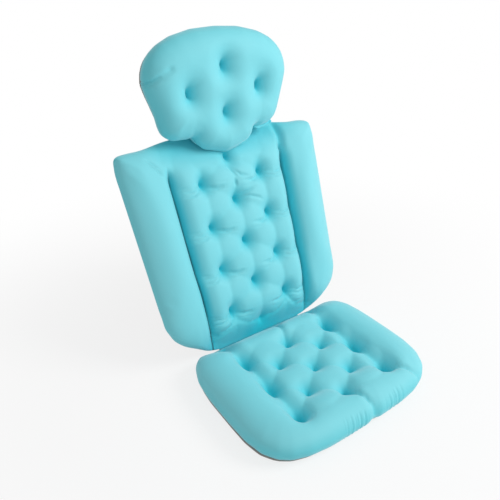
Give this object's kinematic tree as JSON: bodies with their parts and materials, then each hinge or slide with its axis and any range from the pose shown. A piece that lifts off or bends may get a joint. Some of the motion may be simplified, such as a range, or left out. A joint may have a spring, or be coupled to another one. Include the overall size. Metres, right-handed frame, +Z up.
{
  "type": "bath pillow",
  "caption": "Full-body bath pillow: tufted seat, reclined back with side bolsters and head cushion, joined by sewn fold lines, with a non-slip base and suction cups.",
  "frame": {"origin": "middle of the seat pad's underside, on the tub floor", "axes": "+Z up; the seat points along -Y and the back rises towards +Y; +X to the sitter's left"},
  "size_m": [0.5278, 0.598, 0.7015],
  "materials": {
    "jersey": "matte stretch jersey",
    "wadding": "loose fibre",
    "spacer_mesh": "open knit mesh",
    "grip_base": "dotted matte rubber",
    "thread": "twisted thread",
    "silicone": "clear satin silicone"
  },
  "bodies": {
    "seat": {"seat_cover": "jersey", "seat_filling": "wadding", "seat_grip_base": "grip_base", "seat_tuft_tie_01": "thread", "seat_tuft_tie_02": "thread", "seat_tuft_tie_03": "thread", "seat_tuft_tie_04": "thread", "seat_tuft_tie_05": "thread", "seat_tuft_tie_06": "thread", "seat_tuft_tie_07": "thread", "seat_tuft_tie_08": "thread", "seat_tuft_tie_09": "thread", "seat_tuft_tie_10": "thread", "seat_tuft_tie_11": "thread", "seat_tuft_tie_12": "thread", "seat_tuft_tie_13": "thread", "hinge_roll": "jersey"},
    "back": {"back_cover": "jersey", "back_filling": "wadding", "left_bolster_filling": "wadding", "right_bolster_filling": "wadding", "back_mesh": "spacer_mesh", "back_tuft_tie_01": "thread", "back_tuft_tie_02": "thread", "back_tuft_tie_03": "thread", "back_tuft_tie_04": "thread", "back_tuft_tie_05": "thread", "back_tuft_tie_06": "thread", "back_tuft_tie_07": "thread", "back_tuft_tie_08": "thread", "back_tuft_tie_09": "thread", "back_tuft_tie_10": "thread", "back_tuft_tie_11": "thread", "back_tuft_tie_12": "thread", "back_tuft_tie_13": "thread", "back_suction_cup_1": "silicone", "back_suction_cup_2": "silicone", "back_suction_cup_3": "silicone", "back_suction_cup_4": "silicone", "neck_roll": "jersey"},
    "head": {"head_cover": "jersey", "head_filling": "wadding", "head_mesh": "spacer_mesh", "head_tuft_tie_1": "thread", "head_tuft_tie_2": "thread", "head_tuft_tie_3": "thread", "head_tuft_tie_4": "thread", "head_suction_cup_1": "silicone", "head_suction_cup_2": "silicone"}
  },
  "joints": [
    {"name": "back_fold", "type": "hinge", "parent": "seat", "child": "back", "pos_m": [0, 0.1873, 0.012], "axis": [1, 0, 0], "range_deg": [-67, 20]},
    {"name": "head_fold", "type": "hinge", "parent": "back", "child": "head", "pos_m": [0, 0.38335, 0.47696], "axis": [1, 0, 0], "range_deg": [-80, 0]}
  ]
}
